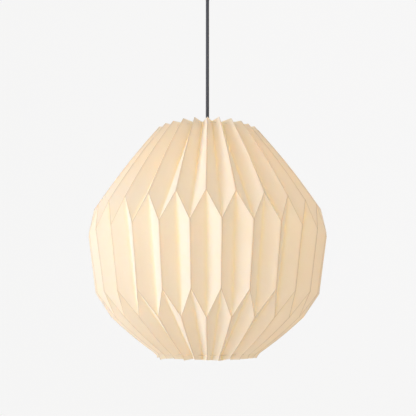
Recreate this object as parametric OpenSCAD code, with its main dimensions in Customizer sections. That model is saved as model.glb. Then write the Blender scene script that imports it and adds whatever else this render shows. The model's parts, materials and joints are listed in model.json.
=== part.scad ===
// Pleated paper pendant lantern: a folded paper shade that rests on a wire carrier
// below an E27 lampholder, hung on a taut round cord from a ceiling cup.
// Millimetres, +Z up. The origin is the centre of the ceiling bracket's top face.

/* [Shade] */
// Number of pleats round the shade
pleats = 28; // [24:2:32]
// Height of the shade between its rims
shade_h = 382; // [370:1:395]
// Ridge radius at the top rim
top_r = 90; // [86:0.5:94]
// Valley radius at the top rim
neck_r = 65; // [62:0.5:68]
// Ridge radius where the upper zigzag starts
upper_r = 191; // [186:0.5:194]
// Height where the upper zigzag starts
upper_h = 239; // [234:1:244]
// Ridge radius at the belly, the widest place
belly_r = 200; // [197:0.5:206]
// Height of the belly
belly_h = 195.5; // [192:0.5:199]
// Ridge radius where the lower zigzag starts
lower_r = 184.5; // [181:0.5:188]
// Height where the lower zigzag starts
lower_h = 102.5; // [99:0.5:106]
// Valley radius where the lower zigzag ends
waist_r = 157.5; // [154:0.5:161]
// Height where the lower zigzag ends
waist_h = 63; // [60:0.5:66]
// Ridge radius at the bottom rim
foot_r = 81.5; // [79:0.5:84]
// Valley radius at the bottom rim
mouth_r = 67; // [65:0.5:69]
// Thickness of the paper
paper_t = 0.4; // [0.3:0.05:0.5]

/* [Threads] */
// Distance of each gathering thread from its rim
gather_h = 7; // [6:0.5:9]
// Diameter of the gathering threads
thread_d = 0.9; // [0.7:0.1:1.2]

/* [Cord] */
// Diameter of the cord
cord_d = 6; // [5.6:0.1:6]

/* [Carrier] */
// Radius of the carrier's rim, to the middle of its wire
carrier_r = 78; // [76:0.5:80]
// Diameter of the rim wire
rim_wire_d = 3; // [2.5:0.25:3.5]
// Diameter of the spoke wires
spoke_wire_d = 2.6; // [2:0.2:3]
// Number of spokes
spokes = 3; // [3:1:6]

/* [Ceiling cup] */
// Outer radius of the cup
canopy_r = 50; // [50:1:55]
// Depth of the cup
canopy_h = 52; // [52:1:56]
// Wall of the cup
canopy_wall = 1.2; // [1:0.1:1.5]

/* [Bracket] */
// Length of the bracket between its bent ends
bracket_l = 93; // [90:1:94]
// Width of the bracket
bracket_w = 22; // [20:1:24]
// Thickness of the bracket
bracket_t = 1.5; // [1.2:0.1:2]
// Distance between the two fixing slots
slot_spacing = 60; // [56:1:62]
// Width of a fixing slot
slot_w = 4.5; // [4:0.5:5.5]
// Length of a fixing slot
slot_l = 15; // [10:1:16]

/* [Hidden] */
$fn = 96;

// Colours
paper_colour = "#f2dcb4";
cord_colour = "#34434f";
white_plastic = "#ecebe6";
steel_colour = "#b9bcc0";
brass_colour = "#c9a24a";

// Distance from the ceiling to the bottom rim, which the cord's route sets
drop = 730;

// Gaps: between pieces that move apart, and inside a sliding fit
rest_gap = 0.3;
fit_gap = 0.05;
cord_r = cord_d / 2;
core_r = 1.1;
cord_sides = 12;
core_sides = 8;

// Longer than any bore in the small fittings
bore_cut = 40;

// ---- Shade geometry -------------------------------------------------------
// Creases are numbered from the front, and even and odd ones alternate. Each is a
// list of [radius, height]: bottom rim, thread, lower zigzag, upper zigzag, top rim.
crease_step = 180 / pleats;
foot_kink = 4;
mouth_kink = 1;
even_crease = [
    [foot_r, 0], [foot_r + foot_kink, gather_h],
    [waist_r, waist_h], [upper_r, upper_h], [top_r, shade_h],
];
odd_crease = [
    [mouth_r, 0], [mouth_r + mouth_kink, gather_h],
    [lower_r, lower_h], [belly_r, belly_h], [neck_r, shade_h],
];
last_level = len(even_crease) - 1;
seam_crease = pleats / 2;
half_facet = 0.5;

// Depths through the paper, in half thicknesses: its two faces, and a strip glued inside
outer_face = 1;
inner_face = -1;
strip_outer = -1.1;
strip_inner = -2.7;

function unit(v) = v / norm(v);
function flat_even(k) = [even_crease[k][0], 0, even_crease[k][1]];
function flat_odd(k) = [
    odd_crease[k][0] * cos(crease_step),
    odd_crease[k][0] * sin(crease_step),
    odd_crease[k][1],
];
// Outward normal of the facet between an even crease and the next odd one
function facet_normal(k) = unit(cross(
    flat_odd(k) - flat_even(k + 1), flat_odd(k + 1) - flat_even(k)));
// That normal as [outward, upward] in the plane of a crease
function in_plane(n, odd) = [
    odd ? n[0] * cos(crease_step) + n[1] * sin(crease_step) : n[0],
    n[2],
];
// How far a crease point moves to reach the paper's face, as [outward, upward]
function rim_shift(n) = [paper_t / 2 / n[0], 0];
function fold_shift(a, b) = (a + b) * paper_t / ((a + b) * (a + b));
function shift(k, odd) =
    k == 0 ? rim_shift(in_plane(facet_normal(0), odd)) :
    k == last_level ? rim_shift(in_plane(facet_normal(k - 1), odd)) :
    fold_shift(in_plane(facet_normal(k - 1), odd), in_plane(facet_normal(k), odd));
even_shift = [for (k = [0 : last_level]) shift(k, false)];
odd_shift = [for (k = [0 : last_level]) shift(k, true)];

// A point of the sheet: crease number (fractions lie between creases), level, and
// depth through the paper
function crease_point(j, k, depth) =
    let (
        odd = j % 2 == 1,
        at = odd ? odd_crease[k] : even_crease[k],
        move = depth * (odd ? odd_shift[k] : even_shift[k]),
        angle = j * crease_step - 90
    )
    [(at[0] + move[0]) * cos(angle), (at[0] + move[0]) * sin(angle), at[1] + move[1] - drop];
function sheet_point(x, k, depth) =
    let (j = floor(x), part = x - j)
    part == 0 ? crease_point(j, k, depth) :
    crease_point(j, k, depth) * (1 - part) + crease_point(j + 1, k, depth) * part;

// A solid piece of pleated paper over the creases in xs, between two depths
module pleated(xs, outer, inner) {
    levels = last_level + 1;
    n = len(xs);
    function id(i, side, k) = (i * 2 + side) * levels + k;
    points = [for (x = xs, depth = [outer, inner], k = [0 : last_level]) sheet_point(x, k, depth)];
    outside = [for (i = [0 : n - 2], k = [0 : last_level - 1]) each [
        [id(i, 0, k), id(i, 0, k + 1), id(i + 1, 0, k)],
        [id(i + 1, 0, k), id(i, 0, k + 1), id(i + 1, 0, k + 1)],
    ]];
    inside = [for (i = [0 : n - 2], k = [0 : last_level - 1]) each [
        [id(i, 1, k), id(i + 1, 1, k), id(i, 1, k + 1)],
        [id(i + 1, 1, k), id(i + 1, 1, k + 1), id(i, 1, k + 1)],
    ]];
    rims = [for (i = [0 : n - 2]) each [
        [id(i, 0, 0), id(i + 1, 0, 0), id(i + 1, 1, 0)],
        [id(i, 0, 0), id(i + 1, 1, 0), id(i, 1, 0)],
        [id(i, 0, last_level), id(i + 1, 1, last_level), id(i + 1, 0, last_level)],
        [id(i, 0, last_level), id(i, 1, last_level), id(i + 1, 1, last_level)],
    ]];
    ends = [for (k = [0 : last_level - 1]) each [
        [id(0, 0, k), id(0, 1, k), id(0, 1, k + 1)],
        [id(0, 0, k), id(0, 1, k + 1), id(0, 0, k + 1)],
        [id(n - 1, 0, k), id(n - 1, 1, k + 1), id(n - 1, 1, k)],
        [id(n - 1, 0, k), id(n - 1, 0, k + 1), id(n - 1, 1, k + 1)],
    ]];
    polyhedron(points, concat(outside, inside, rims, ends));
}

// ---- Where the shade rests -------------------------------------------------
// The rim wire lies just inside the valleys of the neck
neck_run = [belly_r - neck_r, belly_h - shade_h];
neck_out = [-neck_run[1], neck_run[0]] / norm(neck_run);
paper_reach = -odd_shift[last_level][0] * neck_out[0];
rest_distance = rim_wire_d / 2 + rest_gap - paper_reach;
rest_r = carrier_r + neck_out[0] * rest_distance;
rest_h = shade_h - (rest_r - neck_r) * -neck_run[1] / neck_run[0];
carrier_z = rest_h - neck_out[1] * rest_distance - drop;

// ---- Lampholder, measured from the carrier's plane -------------------------
hub_t = 1.6;
flange_gap = 0.1;
flange_z = carrier_z + hub_t / 2 + flange_gap;
flange_t = 3;
flange_r = 24;
skirt_r = 19.6;
skirt_bottom = carrier_z - 27;
socket_r = 13.5;
socket_l = 24;
relief_r = 14.5;
insert_r = 15.9;
insert_z = carrier_z + 1;
insert_t = 9;
collar_r = 18.4;
collar_top = carrier_z + 13;
hub_r = 26;
ring_body_r = 22;
ring_lip_r = 24.8;
ring_lip_t = 2;
ring_h = 10;
ring_rib_step = 15;
cap_r = 20.5;
cap_wall = 2;
cap_bottom = flange_z + flange_t + flange_gap;
cap_side_top = carrier_z + 18;
cap_top = carrier_z + 34;
cap_crown_r = 8;
grip_thread_r = 5;
grip_thread_l = 7;
holder_grip_r = 6.5;
holder_grip_top = carrier_z + 45;
holder_grip_lip = 1.5;
holder_screw_z = cap_top + 4.5;
screw_place = 9;
screw_shaft_r = 1.7;
screw_head_r = 3;
screw_head_t = 2.5;
screw_depth = 6;

// Contact strips, bent down from the insert's lower face
contact_w = 5;
contact_t = 0.5;
contact_z = insert_z - 0.1;
tongue_r = 2.5;
tongue_drop = 1.6;
tongue_bend = 5;
side_start = 7;
side_bend = 12.6;
side_tip = 13.4;
side_drop = 2.7;

// ---- Bulb, measured from the carrier's plane --------------------------------
bulb_tip = carrier_z - 1.6;
bulb_cap_top = carrier_z - 6;
bulb_cap_bottom = carrier_z - 29;
bulb_cap_r = 13.1;
bulb_cap_neck_r = 11;
bulb_cap_plain = 3;
tip_r = 5;
tip_crown_r = 3.6;
tip_h = 1.15;
thread_depth = 0.5;
thread_pitch = 3.6;
thread_turns = 5;
housing_top = carrier_z - 27.6;
housing_bottom = carrier_z - 64;
housing_wall = 1.5;
housing_neck_r = 14.6;
housing_r = 28.5;
diffuser_edge = housing_bottom - 0.1;
bulb_r = 30;
diffuser_bottom = carrier_z - 106;
diffuser_wall = 1.2;
board_z = carrier_z - 62;
board_t = 1.6;
board_r = 23;
chip_count = 12;
chip_circle = 16;
chip_size = 3;
driver_size = [16, 1.6, 24];

// ---- Ceiling group -----------------------------------------------------------
canopy_top = -0.5;
canopy_floor = -canopy_h + canopy_wall;
canopy_bend = 12;
side_screw_z = -8;
side_screw_r = 2;
tab_h = 14;
grip_r = 7;
grip_bottom = -64;
grip_stem_top = -43;
nut_flats = 14;
nut_t = 3;
grip_screw_r = 1.5;
grip_screw_l = 4.4;
supply_hole_r = 5.5;
block_size = [20, 15, 13];
block_middle = [0, 24, -23];
pole_pitch = 9;

// The bend sleeve turns about X at sleeve_pivot, and the cord about Y at -93
sleeve_pivot = -69;
sleeve_head_r = 4.6;
sleeve_tip = -89;
sleeve_tip_r = 3.9;

// The cord's own routes, in round numbers: from ceiling to lampholder, the stub
// inside the ceiling grip, the stub inside the sleeve, and the four bared cores
cord_route = [
    [0, 0, -91], [0, 0, -100], [0, 0, -115], [0, 0, -130], [0, 0, -145], [0, 0, -160],
    [0, 0, -175], [0, 0, -190], [0, 0, -205], [0, 0, -220], [0, 0, -235], [0, 0, -250],
    [0, 0, -265], [0, 0, -280], [0, 0, -295], [0, 0, -310], [0, 0, -325], [0, 0, -345],
];
tail_route = [[0, 0, -64], [0, 0, -50], [0, 0, -38]];
sleeve_route = [[0, 0, -89], [0, 0, -78], [0, 0, -66]];
live_route = [
    [-1.4, 0, -38], [-1.4, 0, -34], [-2, 1, -30], [-3, 4, -26],
    [-4, 8, -23.5], [-4.5, 12, -23], [-4.5, 16.5, -23],
];
neutral_route = [
    [1.4, 0, -38], [1.4, 0, -34], [2, 1, -30], [3, 4, -26],
    [4, 8, -23.5], [4.5, 12, -23], [4.5, 16.5, -23],
];
holder_live_route = [
    [-1.4, 0, -345.5], [-1.6, 0, -348], [-3, 0.8, -350.5], [-5.5, 1.2, -352.5], [-9, 0, -354],
];
holder_neutral_route = [
    [1.4, 0, -345.5], [1.6, 0, -348], [3, 0.8, -350.5], [5.5, 1.2, -352.5], [9, 0, -354],
];

// A round tube along a route. The side vector must never lie along the route.
module tube(route, radius, sides, across = [0, 1, 0]) {
    last = len(route) - 1;
    function heading(i) = unit(route[min(i + 1, last)] - route[max(i - 1, 0)]);
    function first_axis(i) = unit(cross(heading(i), across));
    function second_axis(i) = cross(heading(i), first_axis(i));
    points = [for (i = [0 : last], s = [0 : sides - 1])
        let (turn = s * 360 / sides)
        route[i] + radius * (cos(turn) * first_axis(i) + sin(turn) * second_axis(i))];
    skin = [for (i = [0 : last - 1], s = [0 : sides - 1])
        let (next = (s + 1) % sides)
        [i * sides + s, i * sides + next, (i + 1) * sides + next, (i + 1) * sides + s]];
    start = [[for (s = [sides - 1 : -1 : 0]) s]];
    end = [[for (s = [0 : sides - 1]) last * sides + s]];
    polyhedron(points, concat(skin, start, end));
}

// A ring of round section round the Z axis
module wire_ring(radius, wire_d, z) {
    translate([0, 0, z])
        rotate_extrude()
            translate([radius, 0])
                circle(d = wire_d, $fn = 24);
}

// A drilled cylinder that starts at z and goes up
module sleeve(outer, inner, z, height) {
    translate([0, 0, z])
        difference() {
            cylinder(r = outer, h = height);
            translate([0, 0, -1])
                cylinder(r = inner, h = height + 2);
        }
}

// ---- Ceiling bracket and cup -------------------------------------------------
module slot_cut() {
    run = slot_l / 2 - slot_w / 2;
    linear_extrude(bracket_t * 3, center = true) {
        square([run * 2, slot_w], center = true);
        for (side = [-1, 1])
            translate([side * run, 0])
                circle(d = slot_w, $fn = 32);
    }
}

module bracket() {
    color(steel_colour)
        difference() {
            union() {
                translate([-bracket_l / 2, -bracket_w / 2, -bracket_t])
                    cube([bracket_l, bracket_w, bracket_t]);
                for (side = [0, 1])
                    mirror([side, 0, 0])
                        translate([bracket_l / 2 - bracket_t, -bracket_w / 2, -tab_h])
                            cube([bracket_t, bracket_w, tab_h]);
            }
            for (side = [-1, 1])
                translate([side * slot_spacing / 2, 0, 0])
                    slot_cut();
            cylinder(r = supply_hole_r, h = bracket_t * 3, center = true);
            translate([0, 0, side_screw_z])
                rotate([0, 90, 0])
                    cylinder(r = side_screw_r, h = bracket_l + 2, center = true, $fn = 32);
        }
}

module canopy() {
    bend = [for (a = [0 : 15 : 90]) [
        canopy_r - canopy_bend + canopy_bend * cos(a),
        -canopy_h + canopy_bend - canopy_bend * sin(a),
    ]];
    inner_bend = canopy_bend - canopy_wall;
    bend_inside = [for (a = [90 : -15 : 0]) [
        canopy_r - canopy_bend + inner_bend * cos(a),
        -canopy_h + canopy_bend - inner_bend * sin(a),
    ]];
    hole_r = grip_thread_r + fit_gap * 2;
    color(cord_colour)
        difference() {
            rotate_extrude()
                polygon(concat(
                    [[canopy_r, canopy_top]], bend,
                    [[hole_r, -canopy_h], [hole_r, canopy_floor]], bend_inside,
                    [[canopy_r - canopy_wall, canopy_top]]));
            translate([0, 0, side_screw_z])
                rotate([0, 90, 0])
                    cylinder(r = side_screw_r + fit_gap, h = canopy_r * 3, center = true, $fn = 32);
        }
}

module canopy_screws() {
    head_t = 2.2;
    head_r = 3.5;
    shaft_l = canopy_r - bracket_l / 2 + bracket_t + 2;
    color(steel_colour)
        for (side = [0, 1])
            mirror([side, 0, 0])
                translate([canopy_r + fit_gap, 0, side_screw_z])
                    rotate([0, 90, 0]) {
                        cylinder(r = head_r, h = head_t, $fn = 48);
                        translate([0, 0, -shaft_l])
                            cylinder(r = side_screw_r - fit_gap, h = shaft_l, $fn = 32);
                    }
}

// ---- Wiring in the cup ----------------------------------------------------------
module terminal_block() {
    core_hole_r = core_r + 0.4;
    color(white_plastic)
        translate(block_middle)
            difference() {
                cube(block_size, center = true);
                for (side = [-1, 1])
                    translate([side * pole_pitch / 2, 0, 0]) {
                        rotate([90, 0, 0])
                            cylinder(r = core_hole_r, h = block_size[1] + 2, center = true, $fn = 32);
                        for (end = [-1, 1])
                            translate([0, end * block_size[1] / 4, -block_size[2] / 2 - 1])
                                cylinder(r = screw_shaft_r, h = block_size[2] / 2 + 1, $fn = 32);
                    }
            }
}

module terminal_screws() {
    gap_to_core = core_r + 0.1;
    length = block_size[2] / 2 - gap_to_core;
    color(brass_colour)
        translate(block_middle)
            for (side = [-1, 1], end = [-1, 1])
                translate([side * pole_pitch / 2, end * block_size[1] / 4, -block_size[2] / 2])
                    cylinder(r = screw_shaft_r - fit_gap, h = length, $fn = 32);
}

module canopy_grip() {
    head_h = -canopy_h - grip_bottom;
    color(white_plastic)
        difference() {
            union() {
                translate([0, 0, grip_bottom])
                    cylinder(r = grip_r, h = head_h - fit_gap);
                translate([0, 0, grip_bottom + 1])
                    cylinder(r = grip_thread_r, h = grip_stem_top - grip_bottom - 1);
            }
            translate([0, 0, grip_bottom - 1])
                cylinder(r = cord_r + fit_gap, h = bore_cut);
            translate([0, 0, grip_bottom + head_h / 2])
                rotate([0, 90, 0])
                    cylinder(r = grip_screw_r, h = grip_r + 1, $fn = 32);
        }
}

module canopy_grip_nut() {
    color(steel_colour)
        translate([0, 0, canopy_floor + fit_gap])
            difference() {
                cylinder(d = nut_flats / cos(30), h = nut_t, $fn = 6);
                translate([0, 0, -1])
                    cylinder(r = grip_thread_r + fit_gap, h = nut_t + 2);
            }
}

module grub_screw(z) {
    translate([cord_r + fit_gap * 2, 0, z])
        rotate([0, 90, 0])
            cylinder(r = grip_screw_r - fit_gap, h = grip_screw_l, $fn = 32);
}

module canopy_grip_screw() {
    color(steel_colour)
        grub_screw((grip_bottom - canopy_h) / 2);
}

module cord_tail() {
    color(cord_colour)
        tube(tail_route, cord_r, cord_sides);
}

module live_core() {
    color("#6b4226")
        tube(live_route, core_r, core_sides, [1, 0, 0]);
}

module neutral_core() {
    color("#2f5d9b")
        tube(neutral_route, core_r, core_sides, [1, 0, 0]);
}

// ---- Where the cord bends at the ceiling -----------------------------------------
module bend_sleeve() {
    bore_r = cord_r + fit_gap;
    top_angle = acos(bore_r / sleeve_head_r);
    head = [for (i = [0 : 6]) let (a = top_angle * (1 - i / 6))
        [sleeve_head_r * cos(a), sleeve_pivot + sleeve_head_r * sin(a)]];
    color(cord_colour)
        rotate_extrude()
            polygon(concat(head, [[sleeve_tip_r, sleeve_tip], [bore_r, sleeve_tip]]));
}

module cord_in_sleeve() {
    color(cord_colour)
        tube(sleeve_route, cord_r, cord_sides);
}

module cord() {
    color(cord_colour)
        tube(cord_route, cord_r, cord_sides);
}

// ---- Lampholder ---------------------------------------------------------------------
module holder_grip() {
    stem_bottom = cap_top - grip_thread_l;
    neck_h = 3;
    color(white_plastic)
        difference() {
            union() {
                translate([0, 0, stem_bottom])
                    cylinder(r = grip_thread_r, h = cap_top - stem_bottom + 1);
                translate([0, 0, cap_top + fit_gap])
                    cylinder(r = holder_grip_r, h = holder_grip_top - neck_h - cap_top);
                translate([0, 0, holder_grip_top - neck_h])
                    cylinder(r1 = holder_grip_r, r2 = cord_r + holder_grip_lip, h = neck_h);
            }
            translate([0, 0, stem_bottom - 1])
                cylinder(r = cord_r + fit_gap, h = bore_cut);
            translate([0, 0, holder_screw_z])
                rotate([0, 90, 0])
                    cylinder(r = grip_screw_r, h = grip_r + 1, $fn = 32);
        }
}

module holder_grip_screw() {
    color(steel_colour)
        grub_screw(holder_screw_z);
}

// Half of the cap's dome, from its side up to its crown, as an ellipse
function dome(r, side_top, crown, crown_r) = [for (a = [0 : 10 : 90])
    [crown_r + (r - crown_r) * cos(a), side_top + (crown - side_top) * sin(a)]];

module holder_cap() {
    hole_r = grip_thread_r + fit_gap;
    inside_r = cap_r - cap_wall;
    inside = dome(inside_r, cap_side_top, cap_top - cap_wall, cap_crown_r);
    color(white_plastic)
        rotate_extrude()
            polygon(concat(
                [[cap_r, cap_bottom]],
                dome(cap_r, cap_side_top, cap_top, cap_crown_r),
                [[hole_r, cap_top], [hole_r, cap_top - cap_wall]],
                [for (i = [len(inside) - 1 : -1 : 0]) inside[i]],
                [[inside_r, cap_bottom]]));
}

module holder_skirt() {
    socket_top = skirt_bottom + socket_l;
    recess_r = insert_r + fit_gap;
    color(white_plastic)
        rotate_extrude()
            polygon([
                [socket_r, skirt_bottom], [skirt_r, skirt_bottom],
                [skirt_r, flange_z], [flange_r, flange_z],
                [flange_r, flange_z + flange_t], [collar_r, flange_z + flange_t],
                [collar_r, collar_top], [recess_r, collar_top],
                [recess_r, insert_z], [relief_r, insert_z],
                [relief_r, socket_top], [socket_r, socket_top],
            ]);
}

module holder_insert() {
    color("#e4e0d6")
        difference() {
            translate([0, 0, insert_z])
                cylinder(r = insert_r, h = insert_t);
            for (side = [-1, 1])
                translate([side * screw_place, 0, insert_z + insert_t - screw_depth])
                    cylinder(r = screw_shaft_r + fit_gap, h = screw_depth + 1, $fn = 32);
        }
}

// A strip of brass cut from a side outline
module contact_strip(outline) {
    color(brass_colour)
        translate([0, 0, contact_z])
            rotate([90, 0, 0])
                linear_extrude(contact_w, center = true)
                    polygon(outline);
}

module centre_contact() {
    contact_strip([
        [-screw_place, 0], [-screw_place, -contact_t], [-tongue_bend, -contact_t],
        [-tongue_r, -tongue_drop - contact_t], [tongue_r, -tongue_drop - contact_t],
        [tongue_r, -tongue_drop], [-tongue_r, -tongue_drop], [-tongue_bend, 0],
    ]);
}

module side_contact() {
    contact_strip([
        [side_start, 0], [side_start, -contact_t], [side_bend, -contact_t],
        [side_tip, -contact_t - side_drop], [side_tip + contact_t, -contact_t - side_drop],
        [side_bend + contact_t, 0],
    ]);
}

module contact_screws() {
    top = insert_z + insert_t;
    color(brass_colour)
        for (side = [-1, 1])
            translate([side * screw_place, 0, top - screw_depth]) {
                cylinder(r = screw_shaft_r, h = screw_depth, $fn = 32);
                translate([0, 0, screw_depth + fit_gap])
                    cylinder(r = screw_head_r, h = screw_head_t, $fn = 48);
            }
}

module holder_live_core() {
    color("#6b4226")
        tube(holder_live_route, core_r, core_sides);
}

module holder_neutral_core() {
    color("#2f5d9b")
        tube(holder_neutral_route, core_r, core_sides);
}

module retaining_ring() {
    top = carrier_z - hub_t / 2 - flange_gap;
    color(white_plastic)
        difference() {
            union() {
                translate([0, 0, top - ring_h])
                    cylinder(r = ring_body_r, h = ring_h);
                translate([0, 0, top - ring_lip_t])
                    cylinder(r = ring_lip_r, h = ring_lip_t);
                for (a = [0 : ring_rib_step : 360 - ring_rib_step])
                    rotate([0, 0, a])
                        translate([ring_body_r, 0, top - ring_h + 1])
                            cylinder(r = 1, h = ring_h - ring_lip_t - 0.5, $fn = 16);
            }
            translate([0, 0, top - ring_h - 1])
                cylinder(r = skirt_r + fit_gap, h = ring_h + 2);
        }
}

// ---- Shade carrier ---------------------------------------------------------------------
module carrier_hub() {
    color(white_plastic)
        sleeve(hub_r, skirt_r + 0.3, carrier_z - hub_t / 2, hub_t);
}

module carrier_spokes() {
    weld = 0.8;
    inner = hub_r - weld;
    outer = carrier_r - rim_wire_d / 2 + weld;
    color(white_plastic)
        for (i = [0 : spokes - 1])
            rotate([0, 0, 90 + i * 360 / spokes])
                translate([inner, 0, carrier_z])
                    rotate([0, 90, 0])
                        cylinder(d = spoke_wire_d, h = outer - inner, $fn = 24);
}

module carrier_rim() {
    color(white_plastic)
        wire_ring(carrier_r, rim_wire_d, carrier_z);
}

// ---- Bulb ---------------------------------------------------------------------------------
module bulb_cap() {
    wall = 0.4;
    plain = bulb_cap_bottom + bulb_cap_plain;
    // One thread turn is a half-round rib, and the ribs follow each other up the shell
    ribs = [for (i = [0 : thread_turns - 1], a = [0 : 45 : 315]) [
        bulb_cap_r - thread_depth * (0.5 + 0.5 * cos(a)),
        plain + thread_pitch * (i + a / 360),
    ]];
    ribs_top = plain + thread_pitch * thread_turns;
    inner_r = bulb_cap_r - thread_depth - wall;
    color(steel_colour)
        rotate_extrude()
            polygon(concat(
                [[inner_r, bulb_cap_bottom], [bulb_cap_r - thread_depth, bulb_cap_bottom]],
                ribs,
                [
                    [bulb_cap_r - thread_depth, ribs_top], [bulb_cap_neck_r, bulb_cap_top],
                    [bulb_cap_neck_r - wall, bulb_cap_top], [inner_r, ribs_top - wall],
                ]));
}

module bulb_insulator() {
    insulator_bottom = bulb_cap_top + fit_gap;
    insulator_top = bulb_tip - tip_h - fit_gap;
    color("#2b2b2e")
        translate([0, 0, insulator_bottom])
            cylinder(r1 = bulb_cap_neck_r, r2 = tip_r + 0.5, h = insulator_top - insulator_bottom);
}

module bulb_contact() {
    color(steel_colour)
        translate([0, 0, bulb_tip - tip_h])
            cylinder(r1 = tip_r, r2 = tip_crown_r, h = tip_h);
}

// The housing's outline: a neck that flares out to the diffuser
function flare(wall) = [for (t = [0 : 0.1 : 1])
    [housing_neck_r - wall + (housing_r - housing_neck_r) * pow(sin(90 * t), 1.5),
     housing_top + (housing_bottom - housing_top) * t]];

module bulb_housing() {
    outside = flare(0);
    inside = flare(housing_wall);
    color(white_plastic)
        rotate_extrude()
            polygon(concat(outside, [for (i = [len(inside) - 1 : -1 : 0]) inside[i]]));
}

// The diffuser's outline: a ball that meets the housing on a small shoulder
function globe(r) =
    let (middle = diffuser_bottom + bulb_r, start = asin((diffuser_edge - middle) / bulb_r))
    [for (a = [-90 : 10 : start]) [r * cos(a), middle + r * sin(a)]];

module bulb_diffuser() {
    outside = globe(bulb_r);
    inside = globe(bulb_r - diffuser_wall);
    color("#fbf7ec")
        rotate_extrude()
            polygon(concat(
                outside, [[housing_r, diffuser_edge], [housing_r - diffuser_wall, diffuser_edge]],
                [for (i = [len(inside) - 1 : -1 : 0]) inside[i]]));
}

module led_board() {
    color(steel_colour)
        translate([0, 0, board_z])
            cylinder(r = board_r, h = board_t);
}

module led_chips() {
    color("#f4d76a")
        for (i = [0 : chip_count - 1])
            rotate([0, 0, i * 360 / chip_count])
                translate([chip_circle - chip_size / 2, -chip_size / 2, board_z - 1])
                    cube([chip_size, chip_size, 1]);
}

module driver_board() {
    color("#2e6b46")
        translate([-driver_size[0] / 2, -driver_size[1] / 2, board_z + board_t + 1])
            cube(driver_size);
}

// ---- Shade -----------------------------------------------------------------------------------
module shade_front() {
    color(paper_colour)
        pleated(
            [for (x = [-seam_crease : half_facet : seam_crease]) x + 2 * pleats],
            outer_face, inner_face);
}

module shade_back() {
    color(paper_colour)
        pleated(
            [for (x = [seam_crease : half_facet : 2 * pleats - seam_crease]) x],
            outer_face, inner_face);
}

module seam_strips() {
    color(paper_colour)
        for (seam = [seam_crease, 2 * pleats - seam_crease])
            pleated([seam - half_facet, seam, seam + half_facet], strip_outer, strip_inner);
}

// Radius half-way down the pleats at a height
function along(a, b, h) = a[0] + (b[0] - a[0]) * (h - a[1]) / (b[1] - a[1]);
function half_pleat(level, h) =
    (along(even_crease[level], even_crease[level + 1], h)
        + along(odd_crease[level], odd_crease[level + 1], h)) / 2;
top_thread_h = shade_h - gather_h;
top_thread_r = half_pleat(last_level - 1, top_thread_h);
bottom_thread_r = half_pleat(0, gather_h);

module top_thread() {
    color("#e9dcc0")
        wire_ring(top_thread_r, thread_d, top_thread_h - drop);
}

module bottom_thread() {
    color("#e9dcc0")
        wire_ring(bottom_thread_r, thread_d, gather_h - drop);
}

// A knot behind a back ridge, with its two short ends above it or below it
module knot(radius, z, up) {
    knot_r = thread_d * 1.6;
    end_d = thread_d * 0.8;
    end_l = 11;
    translate([0, radius, z]) {
        sphere(r = knot_r, $fn = 32);
        for (side = [-1, 1])
            translate([side * thread_d, 0, up ? knot_r : -knot_r - end_l])
                cylinder(d = end_d, h = end_l, $fn = 16);
    }
}

module top_knot() {
    color("#e9dcc0")
        knot(top_thread_r, top_thread_h - drop, false);
}

module bottom_knot() {
    color("#e9dcc0")
        knot(bottom_thread_r, gather_h - drop, true);
}

bracket();
canopy();
canopy_screws();
terminal_block();
terminal_screws();
canopy_grip();
canopy_grip_nut();
canopy_grip_screw();
cord_tail();
live_core();
neutral_core();
bend_sleeve();
cord_in_sleeve();
cord();
holder_grip();
holder_grip_screw();
holder_cap();
holder_skirt();
holder_insert();
centre_contact();
side_contact();
contact_screws();
holder_live_core();
holder_neutral_core();
retaining_ring();
carrier_hub();
carrier_spokes();
carrier_rim();
bulb_cap();
bulb_insulator();
bulb_contact();
bulb_housing();
bulb_diffuser();
led_board();
led_chips();
driver_board();
shade_front();
shade_back();
seam_strips();
top_thread();
bottom_thread();
top_knot();
bottom_knot();
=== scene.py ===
"""Looks of the pleated paper pendant lantern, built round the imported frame.

Metres, +Z up, the same frame as the CAD: the ceiling is z = 0, and -Y faces the viewer.
"""
import json
import math

import bpy
import numpy as np
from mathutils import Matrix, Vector


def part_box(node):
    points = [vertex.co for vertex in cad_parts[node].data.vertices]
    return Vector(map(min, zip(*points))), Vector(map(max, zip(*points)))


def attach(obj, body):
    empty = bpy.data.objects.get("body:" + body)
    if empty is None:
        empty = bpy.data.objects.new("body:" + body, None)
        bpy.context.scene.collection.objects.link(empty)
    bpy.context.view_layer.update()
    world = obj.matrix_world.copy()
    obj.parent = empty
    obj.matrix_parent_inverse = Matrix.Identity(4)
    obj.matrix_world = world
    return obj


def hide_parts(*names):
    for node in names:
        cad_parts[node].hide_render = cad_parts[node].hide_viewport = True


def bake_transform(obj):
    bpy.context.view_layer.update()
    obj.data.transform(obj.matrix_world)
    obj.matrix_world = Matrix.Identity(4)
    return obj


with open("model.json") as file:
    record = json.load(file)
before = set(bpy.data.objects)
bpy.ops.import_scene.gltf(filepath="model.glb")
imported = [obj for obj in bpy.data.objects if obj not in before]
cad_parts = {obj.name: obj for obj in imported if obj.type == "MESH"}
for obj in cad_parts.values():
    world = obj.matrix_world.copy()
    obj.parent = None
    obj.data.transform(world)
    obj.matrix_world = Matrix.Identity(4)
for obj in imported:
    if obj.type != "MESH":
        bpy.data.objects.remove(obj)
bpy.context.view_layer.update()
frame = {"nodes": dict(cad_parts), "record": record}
MM = 0.001
RNG = np.random.default_rng(28)
# Each CAD node's material slot
SLOT_OF = {part["node"]: part["material_slot"] for part in frame["record"]["subparts"]}


def bottom_of(node):
    """The node's lowest z, in metres."""
    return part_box(node)[0].z


# ---- Camera --------------------------------------------------------------------------------------
# The camera looks up a little at the shade, from the front. Its bearing is measured from -Y.
CAMERA_DISTANCE = 0.982
CAMERA_BEARING = math.radians(0.48)
CAMERA_HEIGHT = -0.6696
CAMERA_PITCH = math.radians(10.86)
CAMERA_YAW = math.radians(0.06)
CAMERA_LENS = 50.28
SENSOR_WIDTH = 36


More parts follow.
